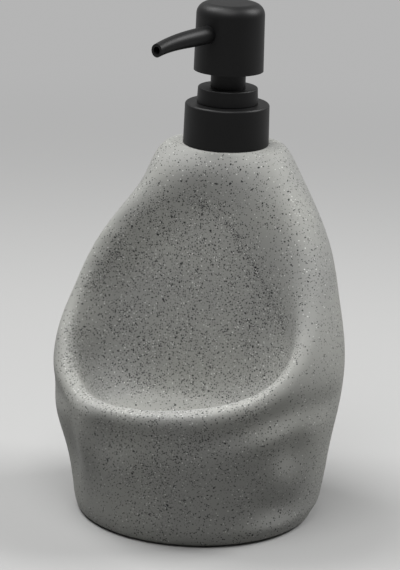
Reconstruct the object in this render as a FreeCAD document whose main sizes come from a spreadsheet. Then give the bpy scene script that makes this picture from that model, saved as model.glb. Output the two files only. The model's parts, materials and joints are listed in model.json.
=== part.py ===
import FreeCAD, Part
import math
import os
from types import SimpleNamespace

import Sketcher

# Soap pump caddy: a stone-like soap vessel with a scooped front that holds a sponge, and a lotion
# pump screwed into its top. Millimetres, +Z up, the scoop faces -Y, the origin lies under the base.

# Driving sizes, kept in the document's sheet. Each heading names the piece that they belong to.
SIZES = {
    # Body outline: how far each round section stands above the one below it
    "shin_rise": 17.6,
    "hip_rise": 22.0,
    "belly_rise": 22.0,
    "chest_rise": 23.0,
    "shoulder_rise": 23.0,
    "nape_rise": 18.0,
    "brow_rise": 9.0,
    "crown_rise": 4.4,
    # Body outline: the widest radius, and how much narrower each section is than the one towards it
    "belly_radius": 55.8,
    "hip_step": 2.2,
    "shin_step": 5.0,
    "foot_step": 2.4,
    "chest_step": 4.7,
    "shoulder_step": 9.0,
    # Body outline: the top's edge outside the collar, and how far the two sections under it lie
    # inside the middle of the radii that they lead between
    "crown_margin": 5.0,
    "nape_hollow": 1.0,
    "brow_hollow": 1.3,
    # Body outline: how far each section sways to the right of the origin, and its set-back behind it
    "chest_sway": 0.3,
    "shoulder_sway": 1.2,
    "nape_sway": 2.2,
    "brow_sway": 1.4,
    "belly_setback": 0.3,
    "chest_setback": 5.0,
    "shoulder_setback": 13.3,
    "nape_setback": 18.8,
    "brow_setback": 22.5,
    "pump_setback": 25.0,
    "foot_round": 1.6,
    # Body walls
    "wall": 4.5,
    "floor": 6.0,
    "roof": 8.0,
    # Scoop: an egg outline in front of the belly, and the one where its wall turns into the back
    "scoop_front_clear": 16.5,
    "scoop_front_tilt": 24.0,
    "scoop_front_rim": 6.2,
    "scoop_front_bowl_rise": 53.6,
    "scoop_front_peak_radius": 21.5,
    "scoop_front_side_slope": 67.9,
    "scoop_front_side_radius": 115.0,
    "scoop_back_reach": 6.0,
    "scoop_wall_drop": 17.0,
    "scoop_wall_tilt": 8.0,
    "scoop_wall_rim": 12.8,
    "scoop_wall_bowl_rise": 34.0,
    "scoop_wall_peak_radius": 18.0,
    "scoop_wall_side_slope": 36.5,
    "scoop_wall_side_radius": 96.0,
    "scoop_left_shift": 3.2,
    "scoop_lean": 9.2,
    "scoop_corner": 10.0,
    "rim_round": 4.0,
    # Base pads
    "pad_radius": 6.0,
    "pad_thickness": 1.6,
    "pad_stand": 0.4,
    "pad_inset": 14.2,
    # General clearances
    "glue_gap": 0.05,
    "slide_gap": 0.05,
    "free_gap": 0.25,
    "ball_gap": 0.02,
    # Neck insert
    "neck_outer_radius": 12.4,
    "neck_inner_radius": 10.2,
    "neck_sleeve_radius": 12.0,
    "neck_sleeve_length": 15.0,
    "neck_flange_radius": 13.4,
    "neck_flange_thickness": 1.0,
    "thread_pitch": 3.2,
    "thread_height": 0.9,
    "thread_root": 1.6,
    "thread_crest": 0.7,
    "thread_start": 1.6,
    "thread_run": 4.8,
    # Collar and closure
    "collar_radius": 16.5,
    "collar_top_radius": 16.2,
    "collar_height": 15.7,
    "collar_wall": 1.2,
    "collar_round": 1.0,
    "closure_wall": 1.3,
    "closure_top": 1.3,
    "collar_hole_radius": 10.7,
    # Pump housing
    "gasket_thickness": 1.0,
    "gasket_outer_radius": 12.9,
    "gasket_inner_radius": 9.4,
    "housing_flange_radius": 12.6,
    "housing_flange_thickness": 1.2,
    "spigot_radius": 9.2,
    "spigot_rise": 3.2,
    "chamber_radius": 7.3,
    "chamber_wall": 1.4,
    "chamber_depth": 4.0,
    "cylinder_radius": 6.0,
    "cylinder_wall": 1.4,
    "cylinder_depth": 34.5,
    "tail_radius": 4.7,
    "tail_length": 9.0,
    "valve_bore_radius": 3.0,
    "valve_bore_depth": 5.0,
    "seat_radius": 1.9,
    "seat_length": 2.0,
    # Guide ring and wiper
    "guide_ring_bottom_radius": 11.75,
    "guide_ring_top_radius": 11.45,
    "guide_ring_height": 6.0,
    "guide_skirt_radius": 10.4,
    "guide_round": 0.6,
    "wiper_thickness": 1.6,
    # Valves, tube and spring
    "inlet_ball_radius": 2.4,
    "outlet_ball_radius": 1.9,
    "cage_thickness": 1.2,
    "cage_port_radius": 0.7,
    "cage_port_circle": 2.1,
    "tube_radius": 3.3,
    "tube_bore_radius": 2.3,
    "tube_floor_gap": 4.0,
    "spring_wire": 0.9,
    "spring_mean_radius": 4.7,
    "spring_turns": 8,
    # Plunger
    "stem_radius": 3.4,
    "stem_bore_radius": 1.5,
    "stem_ball_room_radius": 2.4,
    "stem_ball_room_length": 5.0,
    "stem_flange_radius": 4.8,
    "stem_flange_thickness": 1.2,
    "piston_length": 7.0,
    "piston_lip": 1.8,
    "piston_waist_depth": 0.8,
    "piston_drop": 1.5,
    # Head
    "neck_radius": 6.7,
    "neck_stop_width": 0.35,
    "neck_stop_height": 1.2,
    "head_gap": 12.7,
    "head_bottom_radius": 13.35,
    "head_top_radius": 13.0,
    "head_height": 26.0,
    "head_round": 4.5,
    "head_skirt_wall": 1.3,
    "head_top_wall": 2.2,
    "head_skirt_depth": 9.0,
    "socket_depth": 22.5,
    # Spout
    "spout_rise": 15.1,
    "spout_reach": 42.0,
    "spout_root_radius": 3.4,
    "spout_tip_radius": 2.55,
    "spout_bore_radius": 1.5,
    "spout_middle_reach": 20.0,
    "spout_middle_drop": 0.2,
    "spout_bend_reach": 27.5,
    "spout_bend_drop": 0.45,
    "spout_bend_radius": 3.15,
    "spout_tip_drop": 2.4,
    "spout_swing": 23.0,
    "spout_seat": 5.0,
}


class Length:
    """A size that carries both its value and the sheet expression that it is bound with."""

    def __init__(self, value, text):
        self.value = float(value)
        self.text = text

    @staticmethod
    def of(other):
        """Take a plain number or a Length."""
        return other if isinstance(other, Length) else Length(other, repr(other))

    def join(self, other, sign, value):
        """Make the expression of two lengths."""
        return Length(value, f"({self.text} {sign} {other.text})")

    def __add__(self, other):
        other = Length.of(other)
        return self.join(other, "+", self.value + other.value)

    def __sub__(self, other):
        other = Length.of(other)
        return self.join(other, "-", self.value - other.value)

    def __rsub__(self, other):
        return Length.of(other) - self

    def __mul__(self, other):
        other = Length.of(other)
        return self.join(other, "*", self.value * other.value)

    def __truediv__(self, other):
        other = Length.of(other)
        return self.join(other, "/", self.value / other.value)

    def leg(self, other):
        """The second short side of a right triangle whose longest side this is."""
        value = math.sqrt(self.value ** 2 - other.value ** 2)
        return Length(value, f"sqrt({self.text}^2 - {other.text}^2)")

    def sine(self):
        """The sine of this as an angle in degrees."""
        return Length(math.sin(math.radians(self.value)), f"sin({self.text})")


doc = FreeCAD.newDocument("soap_pump_caddy")
sheet = doc.addObject("Spreadsheet::Sheet", "Sizes")
for row, (alias, number) in enumerate(SIZES.items(), 1):
    sheet.set(f"A{row}", alias)
    sheet.set(f"B{row}", str(number))
    sheet.setAlias(f"B{row}", alias)
doc.recompute()
size = SimpleNamespace(**{alias: Length(number, f"Sizes.{alias}") for alias, number in SIZES.items()})
ZERO = Length(0, "0")
PAD_COUNT = 4
CAGE_PORT_COUNT = 4
HALF_WAY = 1 / 2
# Share of a round corner's radius that lies outside the arc at its middle
MID_CORNER = 1 - math.sqrt(0.5)
# How near, in millimetres, an edge has to be to a size to count as having it
NEAR = 0.01
# A sketch's own numbers for its axes, its origin and the points of a line or arc
X_AXIS, Y_AXIS = range(-1, -3, -1)
ORIGIN = X_AXIS
START, END, CENTRE = range(1, 4)
parts = {}


# Heights and places that several pieces share, from the base up
base_z = size.pad_stand
shin_z = base_z + size.shin_rise
hip_z = shin_z + size.hip_rise
belly_z = hip_z + size.belly_rise
chest_z = belly_z + size.chest_rise
shoulder_z = chest_z + size.shoulder_rise
nape_z = shoulder_z + size.nape_rise
brow_z = nape_z + size.brow_rise
crown_z = brow_z + size.crown_rise
collar_bottom_z = crown_z + size.free_gap
collar_top_z = collar_bottom_z + size.collar_height
closure_top_z = collar_top_z - size.collar_wall - size.glue_gap
closure_roof_z = closure_top_z - size.closure_top
housing_flange_z = closure_roof_z - size.free_gap
gasket_top_z = housing_flange_z - size.housing_flange_thickness
neck_top_z = gasket_top_z - size.gasket_thickness
spigot_top_z = housing_flange_z + size.spigot_rise
guide_bottom_z = collar_top_z + size.free_gap
guide_top_z = guide_bottom_z + size.guide_ring_height
chamber_bottom_z = crown_z - size.chamber_depth
ledge_z = chamber_bottom_z - size.cylinder_depth
seat_z = ledge_z - size.valve_bore_depth
socket_top_z = seat_z - size.seat_length
tail_bottom_z = socket_top_z - size.tail_length
cage_top_z = ledge_z + size.cage_thickness
head_bottom_z = collar_top_z + size.head_gap
head_top_z = head_bottom_z + size.head_height
plug_bottom_z = head_bottom_z + size.head_skirt_depth
plug_top_z = head_top_z - size.head_top_wall - size.glue_gap
spout_z = head_bottom_z + size.spout_rise
wiper_bottom_z = spigot_top_z - size.wiper_thickness
neck_stop_top_z = wiper_bottom_z - size.free_gap
neck_bottom_z = neck_stop_top_z - size.neck_stop_height
stem_top_z = neck_bottom_z + size.socket_depth
stem_flange_top_z = chamber_bottom_z - size.piston_drop
piston_top_z = stem_flange_top_z - size.stem_flange_thickness
piston_bottom_z = piston_top_z - size.piston_length
outlet_seat_z = stem_top_z - size.stem_ball_room_length


def bind(thing, path, length):
    """Bind a property of a document object to a length."""
    thing.setExpression(path, length.text)


def new_body(label):
    """Start a body with a label of its own."""
    body = doc.addObject("PartDesign::Body", label)
    body.Label = label
    return body


def datum(body, role):
    """Find an origin plane or axis of a body by its role."""
    return next(item for item in body.Origin.OriginFeatures if item.Role == role)


def new_sketch(body, name, plane="XZ_Plane"):
    """Start a sketch on one of the body's own origin planes."""
    sketch = body.newObject("Sketcher::SketchObject", name)
    sketch.AttachmentSupport = [(datum(body, plane), "")]
    sketch.MapMode = "FlatFace"
    return sketch


def constrain(sketch, name, kind, *what, length):
    """Add a named dimension to a sketch and bind it."""
    index = sketch.addConstraint(Sketcher.Constraint(kind, *what, length.value))
    sketch.renameConstraint(index, name)
    bind(sketch, f"Constraints.{name}", length)


def hold_point(sketch, name, item, end, across, up):
    """Fix one point of a sketch at two lengths from the sketch's origin."""
    places = (("across", "DistanceX", Y_AXIS, across), ("up", "DistanceY", X_AXIS, up))
    for suffix, kind, axis, length in places:
        if length.value == 0:
            sketch.addConstraint(Sketcher.Constraint("PointOnObject", item, end, axis))
        else:
            constrain(sketch, f"{name}_{suffix}", kind, ORIGIN, START, item, end, length=length)


def outline(sketch, points):
    """Draw a closed outline of straight lines through points given as pairs of lengths."""
    corners = [FreeCAD.Vector(across.value, up.value, 0) for across, up in points]
    for first, second in zip(corners, corners[1:] + corners[:1]):
        sketch.addGeometry(Part.LineSegment(first, second))
    for number, (across, up) in enumerate(points):
        before = (number - 1) % len(points)
        sketch.addConstraint(Sketcher.Constraint("Coincident", before, END, number, START))
        hold_point(sketch, f"corner_{number}", number, START, across, up)


def circle(sketch, across, up, radius, name="ring"):
    """Draw a circle whose centre and radius are lengths."""
    centre = FreeCAD.Vector(across.value, up.value, 0)
    item = sketch.addGeometry(Part.Circle(centre, FreeCAD.Vector(0, 0, 1), radius.value))
    hold_point(sketch, f"{name}_centre", item, CENTRE, across, up)
    constrain(sketch, f"{name}_radius", "Radius", item, length=radius)


def feature(body, kind, name, sketch, **settings):
    """Add a feature that works from one sketch."""
    item = body.newObject(f"PartDesign::{kind}", name)
    item.Profile = sketch
    for key, value in settings.items():
        setattr(item, key, value)
    return item


def edges_where(shape, test):
    """Name the edges of a shape that pass a test."""
    return [f"Edge{number}" for number, edge in enumerate(shape.Edges, 1) if test(edge)]


def round_edges(body, name, radius, test):
    """Round those edges of a body that pass a test."""
    doc.recompute()
    base = body.Tip
    item = body.newObject("PartDesign::Fillet", name)
    item.Base = (base, edges_where(base.Shape, test))
    bind(item, "Radius", radius)
    doc.recompute()
    return item


def ring_at(z, radius):
    """Make a test for round edges at a height and of a radius."""
    def test(edge):
        curve = edge.Curve
        if not isinstance(curve, Part.Circle):
            return False
        return abs(curve.Center.z - z.value) < NEAR and abs(curve.Radius - radius.value) < NEAR
    return test


def on_pump_axis(item):
    """Put a piece on the pump's axis."""
    bind(item, "Placement.Base.y", size.pump_setback)


def turned(label, points):
    """Make a round piece on the pump's axis from its half section, in radius and height pairs."""
    body = new_body(label)
    sketch = new_sketch(body, f"{label}_section")
    outline(sketch, points)
    feature(body, "Revolution", f"{label}_turn", sketch, ReferenceAxis=(sketch, ["V_Axis"]), Angle=360)
    on_pump_axis(body)
    parts[label] = body
    return body


def turn_with_spout(body):
    """Turn a piece of the head round the pump's axis to where the spout points."""
    body.Placement.Rotation = FreeCAD.Rotation(FreeCAD.Vector(0, 0, 1), 270 - size.spout_swing.value)
    bind(body, "Placement.Rotation.Angle", 270 - size.spout_swing)


# Body outline, from the foot to the crown: height, radius, sway and set-back of each round section
hip_radius = size.belly_radius - size.hip_step
shin_radius = hip_radius - size.shin_step
foot_radius = shin_radius - size.foot_step
chest_radius = size.belly_radius - size.chest_step
shoulder_radius = chest_radius - size.shoulder_step
crown_radius = size.collar_radius + size.crown_margin
nape_radius = (shoulder_radius + crown_radius) / 2 - size.nape_hollow
brow_radius = (nape_radius + crown_radius) / 2 - size.brow_hollow
BODY_SECTIONS = [
    (base_z, foot_radius, ZERO, ZERO),
    (shin_z, shin_radius, ZERO, ZERO),
    (hip_z, hip_radius, ZERO, ZERO),
    (belly_z, size.belly_radius, ZERO, size.belly_setback),
    (chest_z, chest_radius, size.chest_sway, size.chest_setback),
    (shoulder_z, shoulder_radius, size.shoulder_sway, size.shoulder_setback),
    (nape_z, nape_radius, size.nape_sway, size.nape_setback),
    (brow_z, brow_radius, size.brow_sway, size.brow_setback),
    (crown_z, crown_radius, ZERO, size.pump_setback),
]
pad_circle_radius = foot_radius - size.pad_inset
# Scoop: the middle height of its front and wall planes, and the radii of the egg outlines on them
scoop_front_reach = size.belly_radius - size.belly_setback + size.scoop_front_clear
scoop_wall_reach = size.scoop_back_reach + size.scoop_corner
scoop_wall_z = belly_z - size.scoop_wall_drop
scoop_front_bowl = size.belly_radius - size.scoop_front_rim
scoop_wall_bowl = size.belly_radius - size.scoop_wall_rim
scoop_front_span = (scoop_front_bowl - size.scoop_front_peak_radius) / size.scoop_front_side_slope.sine()
scoop_wall_span = (scoop_wall_bowl - size.scoop_wall_peak_radius) / size.scoop_wall_side_slope.sine()
scoop_front_peak_rise = scoop_front_span.leg(size.scoop_lean)
scoop_wall_peak_rise = scoop_wall_span.leg(size.scoop_lean)


def egg_points(bowl_radius, bowl_rise, peak_radius, peak_rise, side_radius, aside, lean):
    """Find the two side arcs' centres of an egg outline from its bowl and peak circles."""
    reach_bowl = side_radius - bowl_radius
    reach_peak = side_radius - peak_radius
    span = math.hypot(lean, peak_rise)
    along = (reach_bowl ** 2 - reach_peak ** 2 + span ** 2) / (2 * span)
    offset = math.sqrt(reach_bowl ** 2 - along ** 2)
    unit = FreeCAD.Vector(lean, peak_rise, 0) / span
    middle = FreeCAD.Vector(aside, bowl_rise, 0) + unit * along
    across = FreeCAD.Vector(unit.y, -unit.x, 0) * offset
    return middle + across, middle - across


def arc_through(centre, start, end, radius):
    """Make the arc round a centre, anticlockwise from one direction point to another."""
    ring = Part.Circle(centre, FreeCAD.Vector(0, 0, 1), radius)
    first = math.atan2(start.y - centre.y, start.x - centre.x)
    last = math.atan2(end.y - centre.y, end.x - centre.x)
    if last < first:
        last += 2 * math.pi
    return Part.ArcOfCircle(ring, first, last)


def egg(sketch, bowl_radius, bowl_rise, peak_radius, peak_rise, side_radius, aside, lean):
    """Draw an egg outline of four tangent arcs: bowl, right side, peak and left side.

    The peak's centre rises above the bowl's centre and leans aside from it.
    """
    lengths = (bowl_radius, bowl_rise, peak_radius, peak_rise, side_radius, aside, lean)
    right_centre, left_centre = egg_points(*(length.value for length in lengths))
    bowl = FreeCAD.Vector(aside.value, bowl_rise.value, 0)
    peak = bowl + FreeCAD.Vector(lean.value, peak_rise.value, 0)
    bowl_right = bowl * 2 - left_centre
    bowl_left = bowl * 2 - right_centre
    peak_right = peak * 2 - left_centre
    peak_left = peak * 2 - right_centre
    sketch.addGeometry(arc_through(bowl, bowl_left, bowl_right, bowl_radius.value))
    sketch.addGeometry(arc_through(left_centre, bowl, peak, side_radius.value))
    sketch.addGeometry(arc_through(peak, peak_right, peak_left, peak_radius.value))
    sketch.addGeometry(arc_through(right_centre, peak, bowl, side_radius.value))
    for number in range(4):
        sketch.addConstraint(Sketcher.Constraint("Tangent", number, END, (number + 1) % 4, START))
    hold_point(sketch, "bowl_centre", 0, CENTRE, aside, bowl_rise)
    hold_point(sketch, "peak_centre", 2, CENTRE, aside + lean, bowl_rise + peak_rise)
    constrain(sketch, "bowl_radius", "Radius", 0, length=bowl_radius)
    constrain(sketch, "peak_radius", "Radius", 2, length=peak_radius)
    constrain(sketch, "right_radius", "Radius", 1, length=side_radius)
    sketch.addConstraint(Sketcher.Constraint("Equal", 1, 3))


def tilted_sketch(body, name, reach, height, tilt):
    """Start a sketch on a plane in front of the origin that leans back by an angle in degrees."""
    sketch = new_sketch(body, name)
    place = FreeCAD.Vector(0, height.value, reach.value)
    lean_back = FreeCAD.Rotation(FreeCAD.Vector(-1, 0, 0), tilt.value)
    sketch.AttachmentOffset = FreeCAD.Placement(place, lean_back)
    bind(sketch, "AttachmentOffset.Base.y", height)
    bind(sketch, "AttachmentOffset.Base.z", reach)
    bind(sketch, "AttachmentOffset.Rotation.Angle", tilt)
    return sketch


def scoop_slice(body, name, share, ahead, grow):
    """Draw the scoop's outline, a share of the way from its wall plane to its front plane.

    The outline is moved ahead of that plane and grown by two more lengths.
    """
    def between(wall, front):
        return wall + (front - wall) * share

    sketch = tilted_sketch(body, name, between(scoop_wall_reach, scoop_front_reach) + ahead,
                           between(scoop_wall_z, belly_z),
                           between(size.scoop_wall_tilt, size.scoop_front_tilt))
    egg(sketch, between(scoop_wall_bowl, scoop_front_bowl) + grow,
        between(size.scoop_wall_bowl_rise, size.scoop_front_bowl_rise),
        between(size.scoop_wall_peak_radius, size.scoop_front_peak_radius) + grow,
        between(scoop_wall_peak_rise, scoop_front_peak_rise),
        between(size.scoop_wall_side_radius, size.scoop_front_side_radius) + grow,
        ZERO - size.scoop_left_shift, size.scoop_lean)
    return sketch


def scoop_cut(body, grow):
    """Cut the scoop out of a body: a wide mouth, then a wall that turns into the back."""
    corner = size.scoop_corner
    turn = corner * MID_CORNER
    front = scoop_slice(body, "scoop_front", 1, ZERO, grow)
    slices = [
        scoop_slice(body, "scoop_middle", HALF_WAY, ZERO, grow),
        scoop_slice(body, "scoop_wall", 0, ZERO - grow, grow),
        scoop_slice(body, "scoop_turn", 0, turn - corner - grow, grow - turn),
        scoop_slice(body, "scoop_back", 0, ZERO - corner - grow, grow - corner),
    ]
    doc.recompute()
    return feature(body, "SubtractiveLoft", "scoop", front, Sections=slices, Ruled=False)


def round_loft(body, sections):
    """Loft a body through round sections: height, radius, sway and set-back of each."""
    rings = []
    for number, (z, radius, sway, setback) in enumerate(sections):
        sketch = new_sketch(body, f"section_{number}", "XY_Plane")
        bind(sketch, "AttachmentOffset.Base.z", z)
        circle(sketch, sway, setback, radius)
        rings.append(sketch)
    doc.recompute()
    return feature(body, "AdditiveLoft", "form", rings[0], Sections=rings[1:], Ruled=False)


def cut_rounds(body, name, across, up, radius, depth, z, copies=1, upwards=False):
    """Cut a round hole of a depth from a level height, repeated round the body's axis."""
    doc.recompute()
    before = body.Shape.Volume
    sketch = new_sketch(body, f"{name}_ring", "XY_Plane")
    bind(sketch, "AttachmentOffset.Base.z", z)
    circle(sketch, across, up, radius)
    hole = feature(body, "Pocket", name, sketch, Reversed=upwards)
    bind(hole, "Length", depth)
    doc.recompute()
    if copies > 1:
        pattern = body.newObject("PartDesign::PolarPattern", f"{name}_pattern")
        pattern.Originals = [hole]
        pattern.Axis = (datum(body, "Z_Axis"), [""])
        pattern.Angle = 360
        pattern.Occurrences = copies
        body.Tip = pattern
        doc.recompute()
    if not body.Shape.Volume < before:
        raise RuntimeError(f"{name} cuts nothing")


def make_caddy_body():
    """Make the vessel: outer form, scoop, neck bore, pad recesses, and the soap room inside."""
    stone = new_body("stone_form")
    round_loft(stone, BODY_SECTIONS)
    scoop_cut(stone, ZERO)
    doc.recompute()
    shape = stone.Tip.Shape
    outer = max(shape.Faces, key=lambda face: face.Area)
    rim = {edge.hashCode() for edge in outer.Edges
           if edge.BoundBox.ZMin > base_z.value + NEAR and edge.BoundBox.ZMax < crown_z.value - NEAR}
    round_edges(stone, "rim", size.rim_round, lambda edge: edge.hashCode() in rim)
    round_edges(stone, "foot", size.foot_round, ring_at(base_z, foot_radius))
    depth = size.pad_thickness - size.pad_stand
    cut_rounds(stone, "pad_recess", ZERO, pad_circle_radius, size.pad_radius + size.glue_gap, depth,
               base_z, copies=PAD_COUNT, upwards=True)
    cut_rounds(stone, "neck_bore", ZERO, size.pump_setback, size.neck_sleeve_radius + size.glue_gap,
               size.roof + size.neck_sleeve_length, crown_z)
    room = new_body("soap_room")
    inner = [(z, radius - size.wall, sway, setback) for z, radius, sway, setback in BODY_SECTIONS[1:-2]]
    inner.insert(0, (base_z + size.floor, foot_radius - size.wall, ZERO, ZERO))
    inner.append((crown_z - size.roof, crown_radius, ZERO, size.pump_setback))
    round_loft(room, inner)
    scoop_cut(room, size.wall)
    doc.recompute()
    vessel = doc.addObject("Part::Cut", "caddy_body")
    vessel.Base = stone
    vessel.Tool = room
    vessel.Label = "caddy_body"
    doc.recompute()
    parts["caddy_body"] = vessel


def make_base_pads():
    """Make the rubber pads that stand in the recesses of the base."""
    for number in range(PAD_COUNT):
        label = f"base_pad_{number + 1}"
        pad = doc.addObject("Part::Cylinder", label)
        pad.Label = label
        bind(pad, "Radius", size.pad_radius)
        bind(pad, "Height", size.pad_thickness)
        turn = f"({number} * 360 deg / {PAD_COUNT})"
        bind(pad, "Placement.Base.x", Length(0, f"{pad_circle_radius.text} * sin{turn}"))
        bind(pad, "Placement.Base.y", Length(0, f"{pad_circle_radius.text} * cos{turn}"))
        parts[label] = pad


def thread(body, name, root, crest, start_z):
    """Add a thread ridge to a round body, from a root radius to a crest radius."""
    sketch = new_sketch(body, f"{name}_section")
    half_root = size.thread_root / 2
    half_crest = size.thread_crest / 2
    outline(sketch, [
        (root, start_z - half_root),
        (crest, start_z - half_crest),
        (crest, start_z + half_crest),
        (root, start_z + half_root),
    ])
    doc.recompute()
    ridge = feature(body, "AdditiveHelix", name, sketch, ReferenceAxis=(datum(body, "Z_Axis"), [""]))
    ridge.Mode = "pitch-height-angle"
    bind(ridge, "Pitch", size.thread_pitch)
    bind(ridge, "Height", size.thread_run)
    doc.recompute()


def make_neck():
    """Make the threaded sleeve that is glued into the body, and the closure that screws on it."""
    flange_z = crown_z + size.neck_flange_thickness
    sleeve_z = crown_z - size.neck_sleeve_length
    insert = turned("neck_insert", [
        (size.neck_inner_radius, sleeve_z),
        (size.neck_sleeve_radius, sleeve_z),
        (size.neck_sleeve_radius, crown_z),
        (size.neck_flange_radius, crown_z),
        (size.neck_flange_radius, flange_z),
        (size.neck_outer_radius, flange_z),
        (size.neck_outer_radius, neck_top_z),
        (size.neck_inner_radius, neck_top_z),
    ])
    crest = size.neck_outer_radius + size.thread_height
    thread(insert, "neck_thread", size.neck_outer_radius - size.glue_gap, crest,
           flange_z + size.thread_start)
    outer = size.collar_radius - size.collar_wall - size.glue_gap
    inner = outer - size.closure_wall
    skirt_z = collar_bottom_z + size.collar_wall
    closure = turned("closure", [
        (size.collar_hole_radius, closure_roof_z),
        (inner, closure_roof_z),
        (inner, skirt_z),
        (outer, skirt_z),
        (outer, closure_top_z),
        (size.collar_hole_radius, closure_top_z),
    ])
    thread(closure, "closure_thread", inner + size.glue_gap, crest + size.free_gap,
           flange_z + size.thread_start)


def make_collar_shell():
    """Make the smooth skirt round the closure."""
    inner = size.collar_radius - size.collar_wall
    roof_z = collar_top_z - size.collar_wall
    shell = turned("collar_shell", [
        (size.collar_hole_radius, roof_z),
        (inner, roof_z),
        (inner, collar_bottom_z),
        (size.collar_radius, collar_bottom_z),
        (size.collar_top_radius, collar_top_z),
        (size.collar_hole_radius, collar_top_z),
    ])
    round_edges(shell, "collar_edge", size.collar_round, ring_at(collar_top_z, size.collar_top_radius))


def make_housing():
    """Make the pump cylinder with its flange, valve seat and tail, and its gasket."""
    chamber_outer = size.chamber_radius + size.chamber_wall
    cylinder_outer = size.cylinder_radius + size.cylinder_wall
    step_z = chamber_bottom_z - size.chamber_wall
    foot_z = ledge_z - size.cylinder_wall
    socket = size.tube_radius + size.glue_gap
    turned("housing", [
        (size.chamber_radius, spigot_top_z),
        (size.chamber_radius, chamber_bottom_z),
        (size.cylinder_radius, chamber_bottom_z),
        (size.cylinder_radius, ledge_z),
        (size.valve_bore_radius, ledge_z),
        (size.valve_bore_radius, seat_z),
        (size.seat_radius, seat_z),
        (size.seat_radius, socket_top_z),
        (socket, socket_top_z),
        (socket, tail_bottom_z),
        (size.tail_radius, tail_bottom_z),
        (size.tail_radius, foot_z),
        (cylinder_outer, foot_z),
        (cylinder_outer, step_z),
        (chamber_outer, step_z),
        (chamber_outer, gasket_top_z),
        (size.housing_flange_radius, gasket_top_z),
        (size.housing_flange_radius, housing_flange_z),
        (size.spigot_radius, housing_flange_z),
        (size.spigot_radius, spigot_top_z),
    ])
    turned("gasket", [
        (size.gasket_inner_radius, neck_top_z),
        (size.gasket_outer_radius, neck_top_z),
        (size.gasket_outer_radius, gasket_top_z),
        (size.gasket_inner_radius, gasket_top_z),
    ])


def make_guide_ring():
    """Make the ring that snaps on the housing and guides the neck, and the wiper under it."""
    bore = size.neck_radius + size.slide_gap
    skirt_inner = size.spigot_radius + size.glue_gap
    ring = turned("guide_ring", [
        (bore, spigot_top_z),
        (skirt_inner, spigot_top_z),
        (skirt_inner, housing_flange_z),
        (size.guide_skirt_radius, housing_flange_z),
        (size.guide_skirt_radius, guide_bottom_z),
        (size.guide_ring_bottom_radius, guide_bottom_z),
        (size.guide_ring_top_radius, guide_top_z),
        (bore, guide_top_z),
    ])
    round_edges(ring, "guide_edge", size.guide_round, ring_at(guide_top_z, size.guide_ring_top_radius))
    turned("stem_wiper", [
        (bore, wiper_bottom_z),
        (size.chamber_radius - size.glue_gap, wiper_bottom_z),
        (size.chamber_radius - size.glue_gap, spigot_top_z),
        (bore, spigot_top_z),
    ])


def make_ball(label, radius, seat, z):
    """Make a valve ball that rests on the edge of its round seat."""
    ball = doc.addObject("Part::Sphere", label)
    ball.Label = label
    bind(ball, "Radius", radius)
    on_pump_axis(ball)
    bind(ball, "Placement.Base.z", z + radius.leg(seat) + size.ball_gap)
    parts[label] = ball


def make_inlet():
    """Make the lower valve's ball and cage, and the tube down into the soap."""
    make_ball("inlet_ball", size.inlet_ball_radius, size.seat_radius, seat_z)
    cage = turned("ball_cage", [
        (ZERO, ledge_z),
        (size.cylinder_radius - size.glue_gap, ledge_z),
        (size.cylinder_radius - size.glue_gap, cage_top_z),
        (ZERO, cage_top_z),
    ])
    cut_rounds(cage, "cage_port", size.cage_port_circle, ZERO, size.cage_port_radius, size.cage_thickness,
               cage_top_z, copies=CAGE_PORT_COUNT)
    tube_top_z = socket_top_z - size.glue_gap
    tube_end_z = base_z + size.floor + size.tube_floor_gap
    turned("dip_tube", [
        (size.tube_bore_radius, tube_end_z),
        (size.tube_radius, tube_end_z),
        (size.tube_radius, tube_top_z),
        (size.tube_bore_radius, tube_top_z),
    ])


def make_plunger():
    """Make the hollow stem with its flange, the piston on it and the upper valve's ball."""
    turned("stem", [
        (size.stem_bore_radius, piston_bottom_z),
        (size.stem_radius, piston_bottom_z),
        (size.stem_radius, piston_top_z),
        (size.stem_flange_radius, piston_top_z),
        (size.stem_flange_radius, stem_flange_top_z),
        (size.stem_radius, stem_flange_top_z),
        (size.stem_radius, stem_top_z),
        (size.stem_ball_room_radius, stem_top_z),
        (size.stem_ball_room_radius, outlet_seat_z),
        (size.stem_bore_radius, outlet_seat_z),
    ])
    bore = size.stem_radius + size.glue_gap
    lip = size.cylinder_radius - size.slide_gap
    waist = size.cylinder_radius - size.piston_waist_depth
    low_z = piston_bottom_z + size.piston_lip
    high_z = piston_top_z - size.piston_lip
    turned("piston", [
        (bore, piston_bottom_z),
        (lip, piston_bottom_z),
        (lip, low_z),
        (waist, low_z),
        (waist, high_z),
        (lip, high_z),
        (lip, piston_top_z),
        (bore, piston_top_z),
    ])
    make_ball("outlet_ball", size.outlet_ball_radius, size.stem_bore_radius, outlet_seat_z)


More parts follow.
